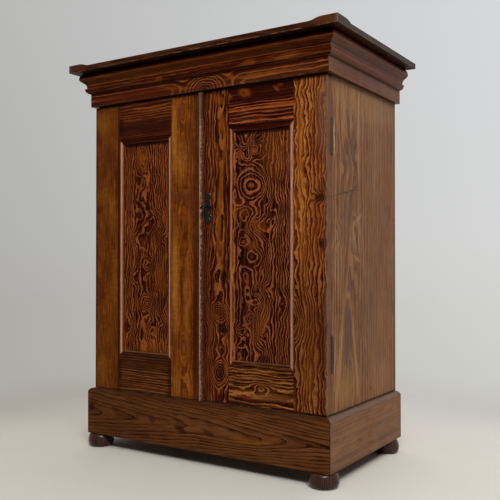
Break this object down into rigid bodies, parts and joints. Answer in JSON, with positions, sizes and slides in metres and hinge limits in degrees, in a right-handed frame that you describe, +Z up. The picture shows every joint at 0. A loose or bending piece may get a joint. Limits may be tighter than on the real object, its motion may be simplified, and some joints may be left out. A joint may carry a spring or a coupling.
{
  "type": "cupboard",
  "caption": "Free-standing wooden cupboard with panelled doors, moulded cornice, plinth and bun feet, with shelves, hinges, lock, key and slide bolt.",
  "frame": {"origin": "on the floor under the middle of the whole cupboard's plan, which is the top board's outline", "axes": "+Z up, -Y towards the front with the doors, +X to the right seen from the front"},
  "size_m": [0.998, 0.5752, 1.272],
  "materials": {
    "dark_pine": "dark stained softwood with bold grain, waxed satin",
    "gold_pine": "golden brown stained softwood, waxed satin",
    "case_pine": "greyish brown stained softwood, satin",
    "raw_pine": "bare aged softwood, matt",
    "dark_foot": "turned wood stained very dark, satin",
    "iron": "dark aged iron"
  },
  "bodies": {
    "carcass": {"foot_front_left": "dark_foot", "foot_front_right": "dark_foot", "foot_back_left": "dark_foot", "foot_back_right": "dark_foot", "plinth_front": "dark_pine", "plinth_left": "case_pine", "plinth_right": "case_pine", "plinth_back": "raw_pine", "corner_block_front_left": "raw_pine", "corner_block_front_right": "raw_pine", "corner_block_back_left": "raw_pine", "corner_block_back_right": "raw_pine", "plinth_rail": "raw_pine", "side_left": "case_pine", "side_right": "case_pine", "bottom_board": "raw_pine", "case_top": "raw_pine", "back_board_1": "raw_pine", "back_board_2": "raw_pine", "back_board_3": "raw_pine", "shelf_1": "raw_pine", "shelf_2": "raw_pine", "shelf_cleat_left_1": "raw_pine", "shelf_cleat_left_2": "raw_pine", "shelf_cleat_right_1": "raw_pine", "shelf_cleat_right_2": "raw_pine", "frieze_front": "dark_pine", "frieze_left": "case_pine", "frieze_right": "case_pine", "frieze_back": "raw_pine", "crown_front": "dark_pine", "crown_left": "case_pine", "crown_right": "case_pine", "top_board": "dark_pine", "hinge_case_left_lower": "iron", "hinge_case_left_upper": "iron", "hinge_case_right_lower": "iron", "hinge_case_right_upper": "iron"},
    "left_door": {"left_hinge_stile": "gold_pine", "left_meeting_stile": "gold_pine", "left_bottom_rail": "gold_pine", "left_top_rail": "gold_pine", "left_panel": "gold_pine", "hinge_door_left_lower": "iron", "hinge_door_left_upper": "iron", "bolt_keeper": "iron", "slide_bolt_plate": "iron"},
    "right_door": {"right_hinge_stile": "dark_pine", "right_meeting_stile": "dark_pine", "right_bottom_rail": "dark_pine", "right_top_rail": "dark_pine", "right_panel": "dark_pine", "meeting_bead": "case_pine", "hinge_door_right_lower": "iron", "hinge_door_right_upper": "iron", "lock_case": "iron", "escutcheon": "iron"},
    "key": {"key": "iron"},
    "lock_bolt": {"lock_bolt": "iron"},
    "left_door_bolt": {"slide_bolt": "iron"}
  },
  "joints": [
    {"name": "left_door_hinge", "type": "hinge", "parent": "carcass", "child": "left_door", "pos_m": [-0.4368, -0.19875, 0.66], "axis": [0, 0, -1], "range_deg": [0, 180]},
    {"name": "right_door_hinge", "type": "hinge", "parent": "carcass", "child": "right_door", "pos_m": [0.4368, -0.19875, 0.66], "axis": [0, 0, 1], "range_deg": [0, 180]},
    {"name": "key_turn", "type": "hinge", "parent": "right_door", "child": "key", "pos_m": [0.0335, -0.22455, 0.7817], "axis": [0, -1, 0], "range_deg": [0, 180]},
    {"name": "lock_bolt_slide", "type": "slide", "parent": "right_door", "child": "lock_bolt", "axis": [-1, 0, 0], "range_m": [0, 0.012]},
    {"name": "left_bolt_slide", "type": "slide", "parent": "left_door", "child": "left_door_bolt", "axis": [0, 0, 1], "range_m": [0, 0.015]}
  ],
  "couplings": [
    {"joint": "key_turn", "follows": "lock_bolt_slide", "rad_per_m": 261.79}
  ]
}
